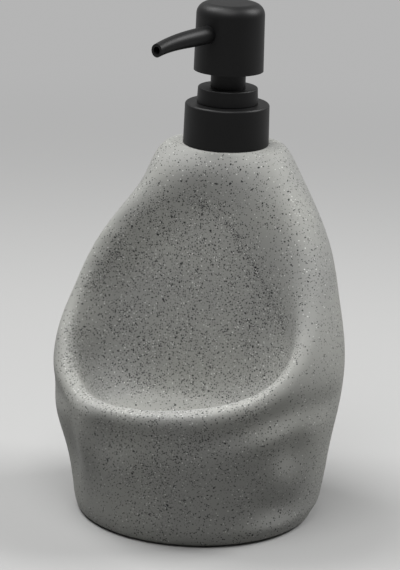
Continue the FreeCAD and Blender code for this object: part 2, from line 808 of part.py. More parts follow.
def make_return_spring():
    """Make the spring between the cage and the piston: one wire on arcs of half a turn each."""
    bottom = cage_top_z.value + size.glue_gap.value + size.spring_wire.value / 2
    top = piston_bottom_z.value - size.glue_gap.value - size.spring_wire.value / 2
    radius = size.spring_mean_radius.value
    quarters = round(size.spring_turns.value) * 4
    points = []
    for step in range(quarters + 1):
        angle = step * math.pi / 2
        z = bottom + (top - bottom) * step / quarters
        points.append(FreeCAD.Vector(radius * math.cos(angle), radius * math.sin(angle), z))
    arcs = [Part.Arc(*points[step:step + 3]).toShape() for step in range(0, quarters, 2)]
    path = Part.Wire(arcs)
    start = FreeCAD.Vector(0, 1, 0)
    ring = Part.Wire(Part.makeCircle(size.spring_wire.value / 2, points[0], start))
    spring = doc.addObject("Part::Feature", "return_spring")
    spring.Label = "return_spring"
    spring.Shape = path.makePipeShell([ring], True, False)
    on_pump_axis(spring)
    gap = (top - bottom) / size.spring_turns.value - size.spring_wire.value
    print("spring gap between turns", round(gap, 2), "volume", round(spring.Shape.Volume, 1),
          "section times length", round(math.pi * (size.spring_wire.value / 2) ** 2 * path.Length, 1))
    parts["return_spring"] = spring


def bore_sideways(body, name, radius, start, depth):
    """Bore a level hole towards the spout, from a distance off the axis."""
    doc.recompute()
    before = body.Shape.Volume
    sketch = new_sketch(body, f"{name}_ring", "YZ_Plane")
    bind(sketch, "AttachmentOffset.Base.z", start)
    circle(sketch, ZERO, spout_z, radius)
    hole = feature(body, "Pocket", name, sketch, Reversed=True)
    bind(hole, "Length", depth)
    doc.recompute()
    if not body.Shape.Volume < before:
        raise RuntimeError(f"{name} cuts nothing")


def make_head():
    """Make the head that is pressed: a shell, and the core with the neck and the soap passage."""
    skirt_inner = size.head_bottom_radius - size.head_skirt_wall
    roof_z = head_top_z - size.head_top_wall
    cap = turned("head_cap", [
        (ZERO, roof_z),
        (skirt_inner, roof_z),
        (skirt_inner, head_bottom_z),
        (size.head_bottom_radius, head_bottom_z),
        (size.head_top_radius, head_top_z),
        (ZERO, head_top_z),
    ])
    round_edges(cap, "head_edge", size.head_round, ring_at(head_top_z, size.head_top_radius))
    spout_hole = size.spout_root_radius + size.glue_gap
    bore_sideways(cap, "spout_hole", spout_hole, size.neck_radius, size.head_bottom_radius)
    turn_with_spout(cap)
    plug = skirt_inner - size.glue_gap
    socket = size.stem_radius + size.slide_gap
    socket_end_z = stem_top_z + size.free_gap
    stop = size.neck_radius + size.neck_stop_width
    passage_top_z = spout_z + size.spout_bore_radius
    core = turned("actuator", [
        (ZERO, passage_top_z),
        (size.stem_bore_radius, passage_top_z),
        (size.stem_bore_radius, socket_end_z),
        (socket, socket_end_z),
        (socket, neck_bottom_z),
        (stop, neck_bottom_z),
        (stop, neck_stop_top_z),
        (size.neck_radius, neck_stop_top_z),
        (size.neck_radius, plug_bottom_z),
        (plug, plug_bottom_z),
        (plug, plug_top_z),
        (ZERO, plug_top_z),
    ])
    bore_sideways(core, "soap_passage", size.spout_bore_radius, ZERO, size.head_bottom_radius)
    bore_sideways(core, "spout_seat", spout_hole, size.spout_seat, size.head_bottom_radius)
    turn_with_spout(core)


def make_spout():
    """Make the outlet tube: a straight root in the head, then a gentle bend to the thinner tip."""
    body = new_body("spout")
    root_start = size.spout_seat + size.glue_gap
    root_end = size.head_bottom_radius
    root = new_sketch(body, "spout_root_rings", "YZ_Plane")
    bind(root, "AttachmentOffset.Base.z", root_start)
    circle(root, ZERO, spout_z, size.spout_root_radius, "wall")
    circle(root, ZERO, spout_z, size.spout_bore_radius, "bore")
    bind(feature(body, "Pad", "spout_root", root), "Length", root_end - root_start)
    stations = [
        (root_end, spout_z, size.spout_root_radius),
        (size.spout_middle_reach, spout_z - size.spout_middle_drop, size.spout_root_radius),
        (size.spout_bend_reach, spout_z - size.spout_bend_drop, size.spout_bend_radius),
        (size.spout_reach, spout_z - size.spout_tip_drop, size.spout_tip_radius),
    ]
    for name, kind in (("tube", "AdditiveLoft"), ("hollow", "SubtractiveLoft")):
        rings = []
        for number, (reach, z, radius) in enumerate(stations):
            sketch = new_sketch(body, f"spout_{name}_{number}", "YZ_Plane")
            bind(sketch, "AttachmentOffset.Base.z", reach)
            circle(sketch, ZERO, z, radius if name == "tube" else size.spout_bore_radius)
            rings.append(sketch)
        doc.recompute()
        feature(body, kind, f"spout_{name}", rings[0], Sections=rings[1:], Ruled=False)
        doc.recompute()
    on_pump_axis(body)
    turn_with_spout(body)
    parts["spout"] = body


def check(items):
    """Stop if any object failed or any piece has no valid shape."""
    for item in doc.Objects:
        if "Invalid" in item.State or "Error" in item.State:
            raise RuntimeError(f"{item.Label} failed: {item.State}")
    for label, item in items.items():
        if item.Shape.isNull() or not item.Shape.isValid():
            raise RuntimeError(f"{label} has no valid shape")


make_caddy_body()
make_base_pads()
make_neck()
make_collar_shell()
make_housing()
make_guide_ring()
make_inlet()
make_plunger()
make_return_spring()
make_head()
make_spout()
doc.recompute()
check(parts)
os.makedirs("parts", exist_ok=True)
for label, item in parts.items():
    item.Shape.exportStep(f"parts/{label}.step")
    print(label, round(item.Shape.Volume), len(item.Shape.Solids))
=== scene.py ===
"""Looks of the soap pump caddy: a speckled stone bottle with a scooped front, and a black pump on top."""
import json
import logging
import math
from dataclasses import dataclass
from enum import Enum

import bpy
import numpy as np
from mathutils import Matrix, Vector

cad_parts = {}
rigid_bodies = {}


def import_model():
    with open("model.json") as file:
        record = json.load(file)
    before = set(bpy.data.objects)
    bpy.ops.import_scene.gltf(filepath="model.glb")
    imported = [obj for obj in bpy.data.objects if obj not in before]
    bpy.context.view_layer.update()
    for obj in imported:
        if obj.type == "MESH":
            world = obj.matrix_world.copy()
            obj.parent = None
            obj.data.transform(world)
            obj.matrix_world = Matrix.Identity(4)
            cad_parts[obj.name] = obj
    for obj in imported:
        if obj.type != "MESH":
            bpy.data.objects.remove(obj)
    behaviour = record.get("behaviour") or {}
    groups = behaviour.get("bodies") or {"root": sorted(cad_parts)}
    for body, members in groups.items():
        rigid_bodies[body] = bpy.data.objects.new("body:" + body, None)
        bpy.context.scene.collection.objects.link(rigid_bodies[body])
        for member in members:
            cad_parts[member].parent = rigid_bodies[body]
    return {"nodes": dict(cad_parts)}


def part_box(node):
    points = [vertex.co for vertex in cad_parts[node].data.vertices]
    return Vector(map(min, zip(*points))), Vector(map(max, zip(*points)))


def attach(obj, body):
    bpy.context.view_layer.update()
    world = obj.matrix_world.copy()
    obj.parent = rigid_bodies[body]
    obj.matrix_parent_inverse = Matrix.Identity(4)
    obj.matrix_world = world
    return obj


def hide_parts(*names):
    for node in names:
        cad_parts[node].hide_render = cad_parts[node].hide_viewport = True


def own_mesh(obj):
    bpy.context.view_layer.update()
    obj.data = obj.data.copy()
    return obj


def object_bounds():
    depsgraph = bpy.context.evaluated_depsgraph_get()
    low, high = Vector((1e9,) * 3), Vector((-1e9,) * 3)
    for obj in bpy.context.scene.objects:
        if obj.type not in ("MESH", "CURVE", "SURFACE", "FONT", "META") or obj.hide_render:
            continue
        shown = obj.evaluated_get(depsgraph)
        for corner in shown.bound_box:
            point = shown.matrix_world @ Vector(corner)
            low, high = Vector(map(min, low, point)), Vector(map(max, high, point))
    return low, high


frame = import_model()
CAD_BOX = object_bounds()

LOG = logging.getLogger("soap_pump_caddy")
MM = 0.001
SMOOTH_ANGLE = math.radians(40)
DRUM_SIDES = 96
PAD_NODES = tuple(f"base_pad_{number}" for number in range(1, 5))
Point = tuple[float, float, float]
Colour = tuple[float, float, float]


class Slot(Enum):
    """The record's material slots."""

    STONE = "stone"
    BLACK = "black_plastic"
    NATURAL = "natural_plastic"
    CLEAR = "clear_plastic"
    SEAL = "seal_rubber"
    PAD = "pad_rubber"
    STEEL = "spring_steel"


class Body(Enum):
    """The bodies that new pieces ride on."""

    CADDY = "caddy"
    PUMP = "pump"


class Joint(Enum):
    """The record's joints."""

    HEAD_PRESS = "head_press"


class SpeckMap(Enum):
    """Where specks lie: sprayed all over, with extra specks on the lower front that are partly painted
    shade, or packed along the scoop's crease.
    """

    SPRAY_AND_SHADE = "spray"
    CREASE = "crease"


class NodeSheet:
    """A node tree that is filled one node at a time."""

    def __init__(self, tree: bpy.types.NodeTree) -> None:
        """Take an empty node tree."""
        self.tree = tree

    def add(self, kind: str, values: dict[str, object] | None = None, **settings: object) -> bpy.types.Node:
        """Add a node.

        Args:
            kind: Blender's name of the node type.
            values: What each named input holds: a socket to link from, or a plain value.
            settings: Properties of the node itself.

        Returns:
            The new node.
        """
        node = self.tree.nodes.new(kind)
        for name, value in settings.items():
            setattr(node, name, value)
        for name, value in (values or {}).items():
            self.feed(node.inputs[name], value)
        return node

    def feed(self, socket: bpy.types.NodeSocket, value: object) -> None:
        """Link another socket to this one, or set its plain value.

        Args:
            socket: The input to feed.
            value: A socket to link from, or a plain value.
        """
        if isinstance(value, bpy.types.NodeSocket):
            self.tree.links.new(value, socket)
        else:
            socket.default_value = value

    def work(self, operation: str, *values: object, clamp: bool = False) -> bpy.types.NodeSocket:
        """Add a Math node.

        Args:
            operation: Blender's name of the operation.
            values: Sockets or numbers, in the order of the node's inputs.
            clamp: Whether the result is kept between 0 and 1.

        Returns:
            The socket that holds the result.
        """
        node = self.add("ShaderNodeMath", operation=operation, use_clamp=clamp)
        for socket, value in zip(node.inputs, values):
            self.feed(socket, value)
        return node.outputs["Value"]

    def spread(self, value: bpy.types.NodeSocket, low: float, high: float, start: float, end: float
               ) -> bpy.types.NodeSocket:
        """Map a value smoothly from one range to another.

        Args:
            value: The socket to map.
            low: Value that gives start.
            high: Value that gives end.
            start: Result at the low end.
            end: Result at the high end.

        Returns:
            The socket that holds the result.
        """
        node = self.add("ShaderNodeMapRange", interpolation_type="SMOOTHSTEP")
        for socket, number in zip(node.inputs, (value, low, high, start, end)):
            self.feed(socket, number)
        return node.outputs["Result"]

    def mix(self, share: object, first: object, second: object) -> bpy.types.NodeSocket:
        """Mix two colours.

        Args:
            share: How much of the second colour shows.
            first: Colour or socket at share 0.
            second: Colour or socket at share 1.

        Returns:
            The socket that holds the mixed colour.
        """
        node = self.add("ShaderNodeMix", data_type="RGBA")
        for name, value in (("Factor_Float", share), ("A_Color", first), ("B_Color", second)):
            socket = next(item for item in node.inputs if item.identifier == name)
            self.feed(socket, (*value, 1.0) if isinstance(value, tuple) else value)
        return next(item for item in node.outputs if item.identifier == "Result_Color")

    def noise(self, place: bpy.types.NodeSocket, scale: float, detail: float = 2.0) -> bpy.types.NodeSocket:
        """Add a Noise Texture.

        Args:
            place: Coordinates that it reads.
            scale: Lumps per metre.
            detail: Number of finer layers.

        Returns:
            The socket of its value.
        """
        node = self.add("ShaderNodeTexNoise", {"Vector": place, "Scale": scale, "Detail": detail})
        return node.outputs["Fac"]


def new_group(name: str, inputs: dict[str, str], outputs: dict[str, str]
              ) -> tuple[bpy.types.NodeTree, NodeSheet, bpy.types.Node, bpy.types.Node]:
    """Start a shader node group.

    Args:
        name: Name of the group.
        inputs: Socket type of each named input.
        outputs: Socket type of each named output.

    Returns:
        The group, a sheet to fill it with, and its input and output nodes.
    """
    tree = bpy.data.node_groups.new(name, "ShaderNodeTree")
    for label, kind in inputs.items():
        tree.interface.new_socket(label, in_out="INPUT", socket_type=kind)
    for label, kind in outputs.items():
        tree.interface.new_socket(label, in_out="OUTPUT", socket_type=kind)
    sheet = NodeSheet(tree)
    return tree, sheet, sheet.add("NodeGroupInput"), sheet.add("NodeGroupOutput")


def make_speck_group() -> bpy.types.NodeTree:
    """Build the group that scatters round specks of uneven size.

    Returns:
        A group whose Mask is 1 inside a speck. Cover is the share of cells that hold one.
    """
    ragged_pace, ragged_reach = 3.0, 1.6
    smallest, soft_edge = 0.35, 0.35
    floats = {name: "NodeSocketFloat" for name in ("Spacing", "Radius", "Cover")}
    tree, sheet, given, result = new_group(
        "scattered_specks", {"Place": "NodeSocketVector", **floats}, {"Mask": "NodeSocketFloat"})
    scale = sheet.work("DIVIDE", 1.0, given.outputs["Spacing"])
    ragged_scale = sheet.work("MULTIPLY", scale, ragged_pace)
    ragged = sheet.add("ShaderNodeTexNoise",
                       {"Vector": given.outputs["Place"], "Scale": ragged_scale, "Detail": 1.0})
    reach = sheet.work("MULTIPLY", given.outputs["Radius"], ragged_reach)
    shift = sheet.add("ShaderNodeVectorMath", operation="SCALE")
    sheet.feed(shift.inputs["Vector"], ragged.outputs["Color"])
    sheet.feed(shift.inputs["Scale"], reach)
    moved = sheet.add("ShaderNodeVectorMath", operation="ADD")
    sheet.feed(moved.inputs[0], given.outputs["Place"])
    sheet.feed(moved.inputs[1], shift.outputs["Vector"])
    cells = sheet.add("ShaderNodeTexVoronoi", {"Vector": moved.outputs["Vector"], "Scale": scale})
    chance = sheet.add("ShaderNodeSeparateColor", {"Color": cells.outputs["Color"]})
    uneven = sheet.work("MULTIPLY_ADD", chance.outputs["Red"], 1 - smallest, smallest)
    radius = sheet.work("MULTIPLY", sheet.work("MULTIPLY", given.outputs["Radius"], uneven), scale)
    depth = sheet.work("SUBTRACT", radius, cells.outputs["Distance"])
    inside = sheet.work("DIVIDE", depth, sheet.work("MULTIPLY", radius, soft_edge), clamp=True)
    held = sheet.work("LESS_THAN", chance.outputs["Green"], given.outputs["Cover"])
    sheet.feed(result.inputs["Mask"], sheet.work("MULTIPLY", inside, held))
    return tree


def make_grain_group() -> bpy.types.NodeTree:
    """Build the group for fine surface grain: a height for bumps and a change of roughness.

    Returns:
        A group whose Height and Roughness vary over the surface at a grain size given in metres.
    """
    broad_pace, fine_weight, middle = 0.04, 0.4, 0.5
    tree, sheet, given, result = new_group(
        "surface_grain",
        {"Place": "NodeSocketVector", "Grain": "NodeSocketFloat", "Roughness": "NodeSocketFloat",
         "Unevenness": "NodeSocketFloat"},
        {"Height": "NodeSocketFloat", "Roughness": "NodeSocketFloat"})
    scale = sheet.work("DIVIDE", 1.0, given.outputs["Grain"])
    fine = sheet.add("ShaderNodeTexNoise", {"Vector": given.outputs["Place"], "Scale": scale, "Detail": 3.0})
    broad_scale = sheet.work("MULTIPLY", scale, broad_pace)
    broad = sheet.add("ShaderNodeTexNoise", {"Vector": given.outputs["Place"], "Scale": broad_scale})
    both = sheet.work("ADD", sheet.work("MULTIPLY", fine.outputs["Fac"], fine_weight),
                      sheet.work("MULTIPLY", broad.outputs["Fac"], 1 - fine_weight))
    swing = sheet.work("MULTIPLY", sheet.work("SUBTRACT", both, middle), given.outputs["Unevenness"])
    sheet.feed(result.inputs["Height"], fine.outputs["Fac"])
    sheet.feed(result.inputs["Roughness"], sheet.work("ADD", given.outputs["Roughness"], swing, clamp=True))
    return tree


@dataclass(frozen=True)
class SharedEffects:
    """Node groups that several finishes place."""

    specks: bpy.types.NodeTree
    grain: bpy.types.NodeTree


def new_material(name: str) -> tuple[bpy.types.Material, NodeSheet, bpy.types.Node, bpy.types.NodeSocket]:
    """Start a material.

    Args:
        name: Name of the material.

    Returns:
        The material, a sheet to fill it with, its shader and the object coordinates.
    """
    material = bpy.data.materials.new(name)
    material.use_nodes = True
    sheet = NodeSheet(material.node_tree)
    shader = material.node_tree.nodes["Principled BSDF"]
    place = sheet.add("ShaderNodeTexCoord").outputs["Object"]
    return material, sheet, shader, place


@dataclass(frozen=True)
class Finish:
    """A material of two clouded colours with fine grain, in metres and lumps per metre."""

    name: str
    colour: Colour
    shade: Colour
    roughness: float
    grain: float = 0.16 * MM
    depth: float = 0.006 * MM
    unevenness: float = 0.10
    specular: float = 0.5
    transmission: float = 0.0
    metallic: float = 0.0
    clouds: float = 90.0
    cloud_detail: float = 3.0
    cloud_edges: tuple[float, float] = (0.35, 0.65)
    cloud_share: float = 1.0

    def build(self, effects: SharedEffects) -> bpy.types.Material:
        """Make the material.

        Args:
            effects: The shared node groups.

        Returns:
            The finished material.
        """
        material, sheet, shader, place = new_material(self.name)
        sheet.feed(shader.inputs["Base Color"], self.tint(sheet, place, effects))
        shader.inputs["Specular IOR Level"].default_value = self.specular
        shader.inputs["Transmission Weight"].default_value = self.transmission
        shader.inputs["Metallic"].default_value = self.metallic
        given = {"Place": place, "Grain": self.grain, "Roughness": self.roughness,
                 "Unevenness": self.unevenness}
        grain = sheet.add("ShaderNodeGroup", given, node_tree=effects.grain).outputs
        bump = sheet.add("ShaderNodeBump",
                         {"Strength": 1.0, "Distance": self.depth, "Height": grain["Height"]})
        sheet.feed(shader.inputs["Roughness"], grain["Roughness"])
        sheet.feed(shader.inputs["Normal"], bump.outputs["Normal"])
        return material

    def tint(self, sheet: NodeSheet, place: bpy.types.NodeSocket, effects: SharedEffects
             ) -> bpy.types.NodeSocket:
        """Mix the two colours in soft clouds.

        Args:
            sheet: The material's node sheet.
            place: Coordinates that the pattern reads.
            effects: The shared node groups, for finishes that add to the clouds.

        Returns:
            The socket that holds the colour.
        """
        lumps = sheet.noise(place, self.clouds, self.cloud_detail)
        cloud = sheet.spread(lumps, *self.cloud_edges, 0.0, self.cloud_share)
        return sheet.mix(cloud, self.colour, self.shade)


@dataclass(frozen=True)
class SpeckLayer:
    """One size and colour of specks in the stone."""

    spacing: float
    radius: float
    cover: float
    colour: Colour
    place: SpeckMap = SpeckMap.SPRAY_AND_SHADE


@dataclass(frozen=True)
class SpeckledStone(Finish):
    """Matt grey cast stone with sprayed black and white specks."""

    name: str = "speckled_stone"
    colour: Colour = (0.350, 0.352, 0.330)
    shade: Colour = (0.310, 0.312, 0.298)
    roughness: float = 0.72
    grain: float = 0.35 * MM
    depth: float = 0.025 * MM
    unevenness: float = 0.12
    specular: float = 0.35
    clouds: float = 1 / (38 * MM)
    cloud_detail: float = 2.0
    patches: float = 2.6 / (38 * MM)
    patch_edges: tuple[float, float] = (0.3, 0.7)
    patch_cover: tuple[float, float] = (0.65, 1.25)
    speck_turn: Point = (0.6, 0.4, 0.9)
    layers: tuple[SpeckLayer, ...] = (
        SpeckLayer(0.52 * MM, 0.20 * MM, 0.42, (0.13, 0.13, 0.13)),
        SpeckLayer(0.70 * MM, 0.30 * MM, 0.27, (0.76, 0.76, 0.74)),
        SpeckLayer(0.62 * MM, 0.36 * MM, 0.66, (0.008, 0.008, 0.010)),
        SpeckLayer(1.50 * MM, 0.50 * MM, 0.46, (0.008, 0.008, 0.010)),
        SpeckLayer(0.40 * MM, 0.25 * MM, 0.95, (0.016, 0.016, 0.020), SpeckMap.CREASE),
    )

    def tint(self, sheet: NodeSheet, place: bpy.types.NodeSocket, effects: SharedEffects
             ) -> bpy.types.NodeSocket:
        """Scatter layers of specks over the clouds, as densely as the body's own maps say.

        Args:
            sheet: The material's node sheet.
            place: Coordinates that the pattern reads.
            effects: The shared node groups.

        Returns:
            The socket that holds the colour.
        """
        colour = super().tint(sheet, place, effects)
        maps = {kind: sheet.add("ShaderNodeAttribute", attribute_name=kind.value).outputs["Fac"]
                for kind in SpeckMap}
        patch = sheet.spread(sheet.noise(place, self.patches), *self.patch_edges, *self.patch_cover)
        for number, layer in enumerate(self.layers):
            moved = sheet.add("ShaderNodeMapping", {"Vector": place, "Location": (number, 2.0 * number, 0.0),
                                                    "Rotation": self.speck_turn})
            cover = sheet.work("MULTIPLY", sheet.work("MULTIPLY", patch, maps[layer.place]), layer.cover)
            given = {"Place": moved.outputs["Vector"], "Spacing": layer.spacing, "Radius": layer.radius,
                     "Cover": cover}
            specks = sheet.add("ShaderNodeGroup", given, node_tree=effects.specks)
            colour = sheet.mix(specks.outputs["Mask"], colour, layer.colour)
        return colour


@dataclass(frozen=True)
class MouldedPlastic(Finish):
    """Plastic from a lightly textured mould."""


@dataclass(frozen=True)
class SoftRubber(Finish):
    """Matt rubber with a dusty surface. The shade is the dust."""

    roughness: float = 0.8
    grain: float = 0.22 * MM
    depth: float = 0.02 * MM
    unevenness: float = 0.12
    clouds: float = 240.0
    cloud_detail: float = 4.0
    cloud_edges: tuple[float, float] = (0.52, 0.75)
    cloud_share: float = 0.6


@dataclass(frozen=True)
class DrawnSteel(Finish):
    """Bright steel wire and balls, with faint drawing marks."""

    name: str = "drawn_steel"
    colour: Colour = (0.60, 0.60, 0.61)
    shade: Colour = (0.50, 0.49, 0.47)
    roughness: float = 0.28
    grain: float = 0.1 * MM
    depth: float = 0.003 * MM
    unevenness: float = 0.14
    metallic: float = 1.0
    clouds: float = 700.0
    cloud_edges: tuple[float, float] = (0.45, 0.7)


def select_only(*pieces: bpy.types.Object) -> None:
    """Deselect everything, then select these pieces and make the first one active.

    Args:
        pieces: What to select.
    """
    bpy.ops.object.select_all(action="DESELECT")
    for piece in pieces:
        piece.select_set(True)
    bpy.context.view_layer.objects.active = pieces[0]


def open_points(piece: bpy.types.Object, chosen: np.ndarray) -> None:
    """Open a piece for editing with only some of its points selected.

    Args:
        piece: The piece, which becomes the active object.
        chosen: True for each point to select.
    """
    select_only(piece)
    bpy.ops.object.mode_set(mode="EDIT")
    bpy.ops.mesh.select_mode(type="VERT")
    bpy.ops.mesh.select_all(action="DESELECT")
    bpy.ops.object.mode_set(mode="OBJECT")
    piece.data.vertices.foreach_set("select", chosen)
    bpy.ops.object.mode_set(mode="EDIT")
    bpy.ops.mesh.select_mode(type="VERT")


def finish_modifier(piece: bpy.types.Object, kind: str, **settings: object) -> None:
    """Add a modifier to a piece and apply it.

    Args:
        piece: The piece, which becomes the active object.
        kind: Blender's name of the modifier type.
        settings: Properties of the modifier.
    """
    select_only(piece)
    modifier = piece.modifiers.new(kind.lower(), kind)
    for name, value in settings.items():
        setattr(modifier, name, value)
    bpy.ops.object.modifier_apply(modifier=modifier.name)


def cut_away(piece: bpy.types.Object, tool: bpy.types.Object) -> None:
    """Cut a closed tool out of a piece and remove the tool."""
    finish_modifier(piece, "BOOLEAN", operation="DIFFERENCE", object=tool, solver="EXACT")
    bpy.data.objects.remove(tool)


def add_drum(name: str, radius: float, place: tuple[float, float], span: tuple[float, float]
             ) -> bpy.types.Object:
    """Add a closed upright drum, as a tool for cutting or filling.

    Args:
        name: Name of the object.
        radius: Radius of the drum.
        place: Where its axis stands in plan.
        span: Heights of its lower and upper face.

    Returns:
        The drum, with its place in its mesh.
    """
    low, high = span
    bpy.ops.object.select_all(action="DESELECT")
    bpy.ops.mesh.primitive_cylinder_add(vertices=DRUM_SIDES, radius=radius, depth=high - low,
                                        location=(*place, (low + high) / 2))
    drum = bpy.context.object
    drum.name = name
    bpy.ops.object.transform_apply(location=True, rotation=True, scale=True)
    return drum


def dress_node(node: str, finish: bpy.types.Material) -> None:
    """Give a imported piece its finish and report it.

    Args:
        node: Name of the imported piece.
        finish: Its material.
    """
    piece = frame["nodes"][node]
    piece.data.materials.clear()
    piece.data.materials.append(finish)
    LOG.info("%s wears %s", node, finish.name)


class MeshSurface:
    """The points of a mesh, for moving many of them by a rule."""

    def __init__(self, piece: bpy.types.Object) -> None:
        """Read the points, normals and edges of a piece.

        Args:
            piece: The piece to read.
        """
        mesh = piece.data
        self.mesh = mesh
        self.points = self.read(mesh.vertices, "co", 3, np.float32).astype(float)
        self.normals = self.read(mesh.vertices, "normal", 3, np.float32).astype(float)
        self.edges = self.read(mesh.edges, "vertices", 2, np.int32)
        count = len(self.points)
        self.neighbours = np.bincount(self.edges.ravel(), minlength=count).astype(float)

    @staticmethod
    def read(items: bpy.types.bpy_prop_collection, name: str, width: int, kind: type) -> np.ndarray:
        """Read one property of all items.

        Args:
            items: The vertices or edges of a mesh.
            name: Name of the property.
            width: How many numbers each item has.
            kind: Type of the numbers.

        Returns:
            An array with a row for each item.
        """
        flat = np.zeros(len(items) * width, kind)
        items.foreach_get(name, flat)
        return flat.reshape(-1, width)

    def around(self, values: np.ndarray) -> np.ndarray:
        """Average a value, or a row of values, over each point's neighbours.

        Args:
            values: One value or row for each point.

        Returns:
            The averages, in the same shape.
        """
        columns = values.reshape(len(values), -1)
        first, second = self.edges.T
        total = np.empty_like(columns)
        for number in range(columns.shape[1]):
            total[:, number] = (np.bincount(first, columns[second, number], len(values))
                                + np.bincount(second, columns[first, number], len(values)))
        return (total / self.neighbours[:, None]).reshape(values.shape)

    def blur(self, values: np.ndarray, rounds: int) -> np.ndarray:
        """Average values over the neighbours several times.

        Args:
            values: One value for each point.
            rounds: How many times.

        Returns:
            The averages.
        """
        for _ in range(rounds):
            values = (values + self.around(values)) / 2
        return values

    def polar(self) -> tuple[np.ndarray, np.ndarray]:
        """Each point's angle round the upright axis in degrees, and its distance from that axis."""
        return np.degrees(np.arctan2(self.points[:, 1], self.points[:, 0])), np.hypot(*self.points[:, :2].T)

    def bulge(self) -> np.ndarray:
        """Measure how sharply the surface curves outwards.

        Returns:
            The curvature at each point, per metre, below zero in hollows.
        """
        gap = self.around(self.points) - self.points
        first, second = self.edges.T
        length = np.linalg.norm(self.points[first] - self.points[second], axis=1).mean()
        return -2 * (gap * self.normals).sum(axis=1) / length ** 2

    def write(self) -> None:
        """Put the moved points back into the mesh."""
        self.mesh.vertices.foreach_set("co", self.points.astype(np.float32).ravel())
        self.mesh.update()


def ease(values: np.ndarray, low: float, high: float) -> np.ndarray:
    """Rise smoothly from 0 at a low value to 1 at a high one."""
    share = np.clip((values - low) / (high - low), 0, 1)
    return share * share * (3 - 2 * share)


def beyond_line(points: np.ndarray, line: np.ndarray, centre: np.ndarray) -> np.ndarray:
    """Measure how far flat points lie from a line of straight runs.

    Args:
        points: The points, a row each.
        line: The line's corners, a row each.
        centre: A point on the near side of the line.

    Returns:
        The distances, below zero on the near side.
    """
    nearest = np.full(len(points), np.inf)
    for start, end in zip(line[:-1], line[1:]):
        run = end - start
        share = np.clip((points - start) @ run / (run @ run), 0, 1)
        foot = start + share[:, None] * run
        gap = np.linalg.norm(points - foot, axis=1)
        far = np.linalg.norm(points - centre, axis=1) >= np.linalg.norm(foot - centre, axis=1)
        nearest = np.where(gap < np.abs(nearest), np.where(far, gap, -gap), nearest)
    return nearest


@dataclass(frozen=True)
class SoftSpot:
    """A soft-edged spot on the outside of the stone, in millimetres and degrees.

    Its place is an angle round the body, 0 towards +X and -90 at the front, and a height. The amount is
    a dent's depth, below zero for a swelling, or a change of the specks' cover.
    """

    angle: float
    height: float
    across: float
    up: float
    amount: float
    tilt: float = 0.0

    def spread_over(self, surface: MeshSurface, radius: float) -> np.ndarray:
        """How much of the amount each point of a surface gets.

        Args:
            surface: The surface to spread over.
            radius: Radius at which the spot's width is measured.

        Returns:
            One value for each point.
        """
        turn, _ = surface.polar()
        aside = np.radians((turn - self.angle + 180) % 360 - 180) * radius
        above = surface.points[:, 2] - self.height * MM
        lean = math.radians(self.tilt)
        along = (aside * math.cos(lean) + above * math.sin(lean)) / (self.across * MM)
        over = (above * math.cos(lean) - aside * math.sin(lean)) / (self.up * MM)
        return self.amount * np.exp(-along ** 2 - over ** 2)


@dataclass(frozen=True)
class WallShift:
    """A soft-edged stretch of the stone that is moved, in millimetres.

    Its place is a point in the front view, and it fades out over a width and a height.
    """

    across: float
    height: float
    wide: float
    tall: float
    aside: float
    lift: float

    def move(self, surface: MeshSurface, share: np.ndarray) -> None:
        """Move the points of a surface.

        Args:
            surface: The surface, whose points change.
            share: How much of the move each point may get.
        """
        reach = (surface.points[:, 0] / MM - self.across) / self.wide
        rise = (surface.points[:, 2] / MM - self.height) / self.tall
        amount = share * np.exp(-reach ** 2 - rise ** 2)
        surface.points[:, 0] += self.aside * MM * amount
        surface.points[:, 2] += self.lift * MM * amount


@dataclass(frozen=True)
class RoundFit:
    """A round recess or bore in the stone, with the heights between which it is plugged and cut."""

    radius: float
    place: tuple[float, float]
    plug: tuple[float, float]
    cut: tuple[float, float]


